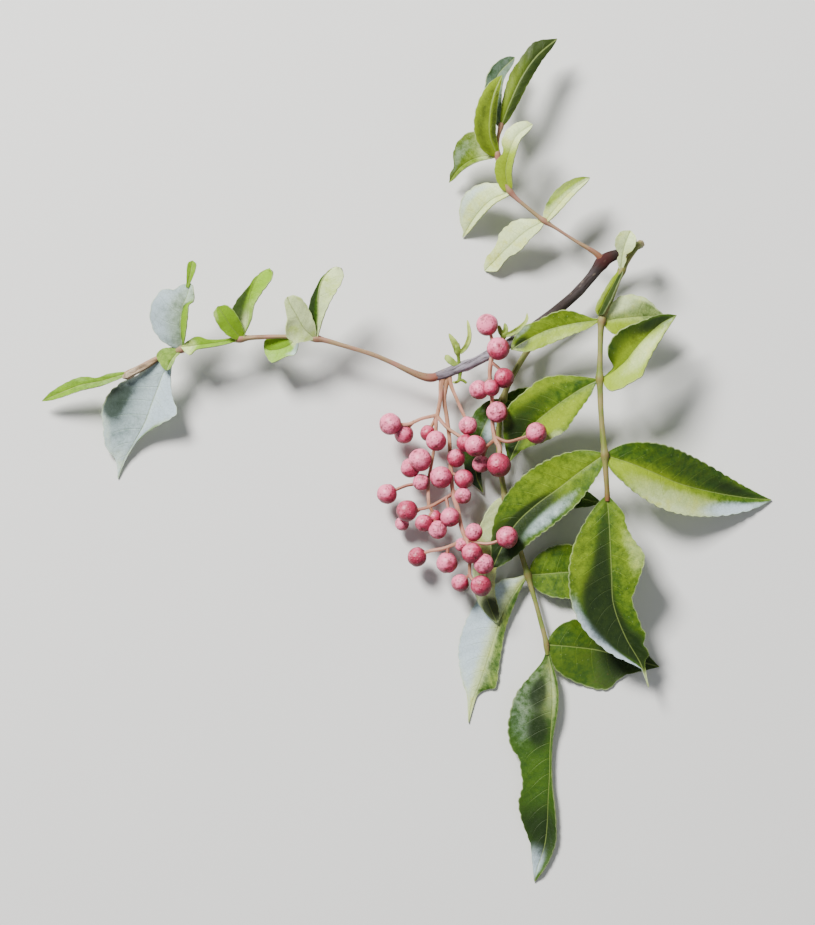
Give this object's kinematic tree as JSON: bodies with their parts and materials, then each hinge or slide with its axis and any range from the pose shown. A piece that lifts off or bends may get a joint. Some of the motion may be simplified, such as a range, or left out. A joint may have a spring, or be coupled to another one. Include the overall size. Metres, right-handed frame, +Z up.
{
  "type": "fruiting sansho sprig",
  "caption": "Picked sprig of sansho pepper: a woody twig with mottled green pinnate leaves, clusters of pink berries and small bud shoots, lying flat.",
  "frame": {"origin": "centre of the bounding box on the plane that the sprig lies on", "axes": "+Y runs up the sprig towards the cut end of the twig, +X to the right seen from above, +Z up from the surface it lies on"},
  "size_m": [0.1614, 0.1861, 0.0183],
  "materials": {
    "twig": "rough grey-lilac bark with small corky dots",
    "right_leaf": "satin leaf, olive and dark green with pale yellow-green and grey-white patches",
    "lower_leaf": "satin leaf, grey-green and olive with pale grey-white patches",
    "upper_leaf": "satin leaf, cream and yellow-olive",
    "left_leaf": "satin leaf, blue-grey with yellow-green folds",
    "berry_cluster_main": "dusty pink skin with small oil glands, pink-tan stalks",
    "berry_cluster_side": "dusty pink skin with small oil glands, pink-tan stalks",
    "bud_shoot_left": "pale yellow-green young growth",
    "bud_shoot_right": "pale yellow-green young growth",
    "bud_shoot_under": "pale green young growth"
  },
  "bodies": {
    "root": {"twig": "twig", "right_leaf": "right_leaf", "lower_leaf": "lower_leaf", "upper_leaf": "upper_leaf", "left_leaf": "left_leaf", "berry_cluster_main": "berry_cluster_main", "berry_cluster_side": "berry_cluster_side", "bud_shoot_left": "bud_shoot_left", "bud_shoot_right": "bud_shoot_right", "bud_shoot_under": "bud_shoot_under"}
  },
  "joints": []
}
